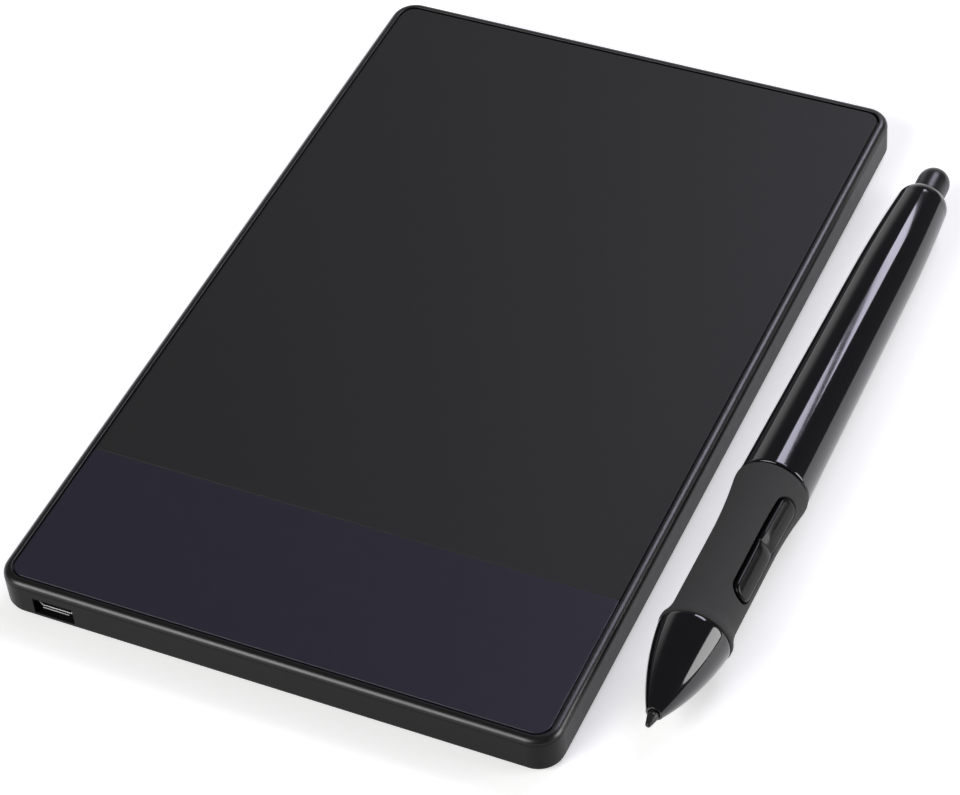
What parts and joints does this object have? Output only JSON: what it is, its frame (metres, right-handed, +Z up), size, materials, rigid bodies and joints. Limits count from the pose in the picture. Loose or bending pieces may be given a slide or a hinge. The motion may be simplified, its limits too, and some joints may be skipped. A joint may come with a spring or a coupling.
{
  "type": "pen drawing tablet",
  "caption": "Thin black drawing tablet with a two-zone face and a cable socket, and its battery pen with rubber grip, rocker switch and pull-off barrel beside it.",
  "frame": {"origin": "on the table, under the middle of the tablet and pen taken together", "axes": "+Z up from the table, +Y along the tablet away from its socket edge, +X from the tablet to the pen"},
  "size_m": [0.1308, 0.175, 0.0146],
  "materials": {
    "case_top": "satin moulded black",
    "case_bottom": "fine textured black",
    "face_satin": "fine grained satin black",
    "face_gloss": "glossy black",
    "film": "adhesive film",
    "foot_rubber": "matte black",
    "screw_steel": "zinc plated",
    "circuit_board": "green solder mask",
    "shield": "plain sheet",
    "foam": "closed cell foam",
    "chip_plastic": "moulded epoxy",
    "can_metal": "bright can",
    "socket_metal": "nickel plated",
    "socket_plastic": "black insulator",
    "contact_metal": "gold flashed",
    "nib_plastic": "smooth black",
    "holder_plastic": "natural white",
    "ferrite": "sintered dark grey",
    "copper": "enamelled copper wire",
    "sensor_plastic": "amber plastic",
    "pen_gloss": "high gloss black",
    "carrier_plastic": "plain moulded",
    "grip_rubber": "soft-touch dark grey",
    "switch_gloss": "glossy black",
    "seal_rubber": "greased black",
    "cell_jacket": "plain cell jacket",
    "spring_steel": "bright spring steel",
    "knob_gloss": "high gloss black"
  },
  "bodies": {
    "tablet": {"upper_case": "case_top", "lower_case": "case_bottom", "work_surface": "face_satin", "front_panel": "face_gloss", "adhesive_film": "film", "rubber_feet": "foot_rubber", "case_screws": "screw_steel", "sensor_board": "circuit_board", "shield_plate": "shield", "spacer_foam": "foam", "controller_chips": "chip_plastic", "clock_crystal": "can_metal", "chip_parts": "chip_plastic", "socket_shell": "socket_metal", "socket_tongue": "socket_plastic", "socket_contacts": "contact_metal"},
    "pen_front": {"ferrite_core": "ferrite", "coil_winding": "copper", "force_sensor": "sensor_plastic", "nose_cone": "pen_gloss", "pen_carrier": "carrier_plastic", "grip_sleeve": "grip_rubber", "switch_pin": "screw_steel", "barrel_ring": "seal_rubber", "pen_board": "circuit_board", "pen_chips": "chip_plastic", "dome_switches": "can_metal", "battery_contact": "spring_steel", "battery_cell": "cell_jacket", "contact_ring": "contact_metal"},
    "nib": {"nib": "nib_plastic", "nib_holder": "holder_plastic"},
    "side_switch": {"side_switch": "switch_gloss"},
    "pen_barrel": {"rear_barrel": "pen_gloss", "contact_strip": "contact_metal", "spring_seat": "spring_steel", "battery_spring": "spring_steel", "tail_knob": "knob_gloss"}
  },
  "joints": [
    {"name": "pen_lift", "type": "slide", "parent": "tablet", "child": "pen_front", "axis": [0, 0, 1], "range_m": [0, 0.12]},
    {"name": "nib_press", "type": "slide", "parent": "pen_front", "child": "nib", "axis": [0.0033, 0.9999, -0.014], "range_m": [0, 0.0008], "stiffness_N_per_m": 1500},
    {"name": "side_switch_rock", "type": "hinge", "parent": "pen_front", "child": "side_switch", "pos_m": [0.06096, -0.03351, 0.00903], "axis": [0.53, -0.0136, -0.8479], "range_deg": [-2.5, 2.5], "stiffness_Nm_per_rad": 0.33},
    {"name": "barrel_pull", "type": "slide", "parent": "pen_front", "child": "pen_barrel", "axis": [0.0033, 0.9999, -0.014], "range_m": [0, 0.055]}
  ]
}
